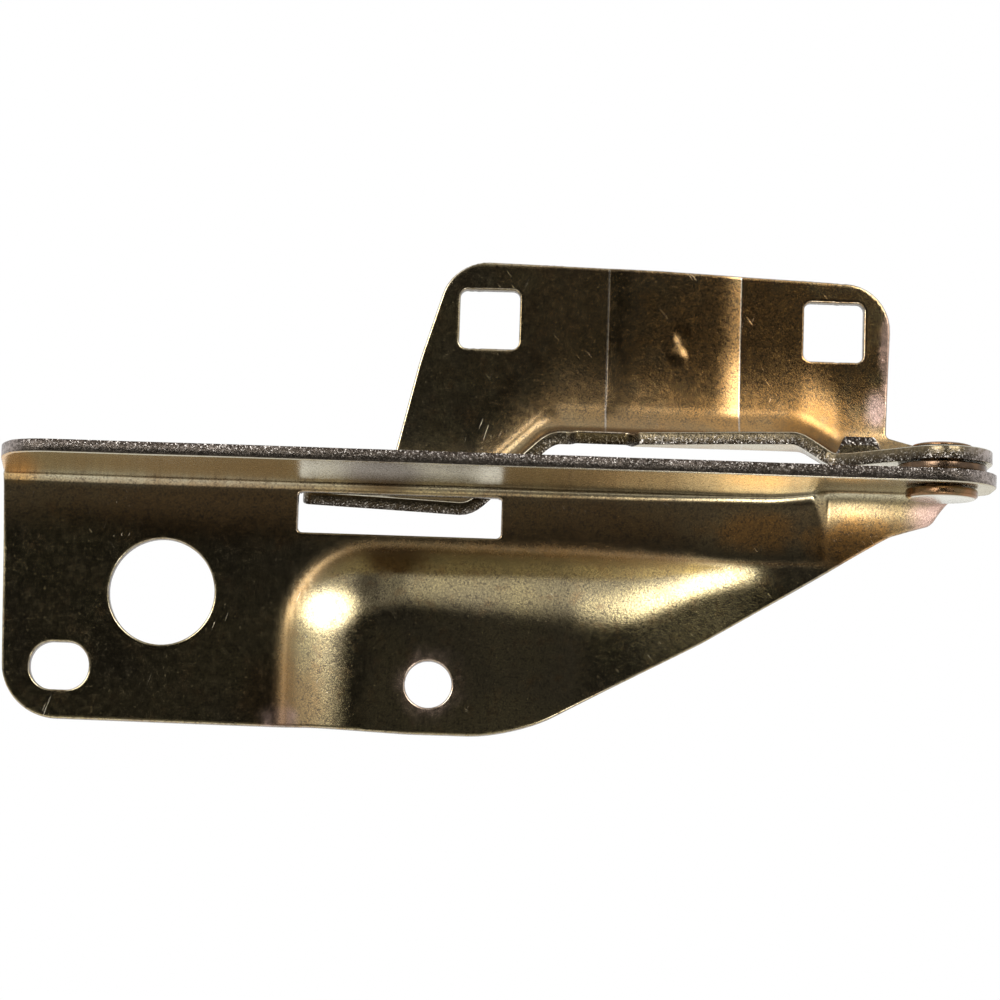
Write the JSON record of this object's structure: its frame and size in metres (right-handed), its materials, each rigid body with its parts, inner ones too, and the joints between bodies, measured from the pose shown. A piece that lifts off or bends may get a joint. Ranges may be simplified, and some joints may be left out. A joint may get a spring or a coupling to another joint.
{
  "type": "bonnet hinge",
  "caption": "Bonnet hinge: a flanged body bracket with a raised fixing pad, and a joggled bonnet bracket that turns on a rivet through both flanges.",
  "frame": {"origin": "on the body bracket's raised pad, 14 mm beside the centre of its bolt hole, at the face that rests on the wing rail", "axes": "+X along the hinge towards its pivot, +Z along the pivot rivet from its head to its formed end, +Y out of the bonnet bracket's back, which is up in the car with the bonnet shut"},
  "size_m": [0.1865, 0.0348, 0.0929],
  "materials": {
    "body_zinc": "yellow passivated zinc plating, satin",
    "bonnet_zinc": "yellow passivated zinc plating, satin",
    "rivet_steel": "yellow passivated zinc plating, bright",
    "washer_steel": "dark oiled steel",
    "bush_steel": "plated steel, satin"
  },
  "bodies": {
    "body_side": {"body_bracket": "body_zinc", "pivot_rivet": "rivet_steel", "spacer_washer": "washer_steel", "pivot_bush": "bush_steel"},
    "bonnet_side": {"bonnet_bracket": "bonnet_zinc"}
  },
  "joints": [
    {"name": "bonnet_swing", "type": "hinge", "parent": "body_side", "child": "bonnet_side", "pos_m": [0.0804, -0.0089, 0.0446], "axis": [0, 0, -1], "range_deg": [0, 90]}
  ]
}
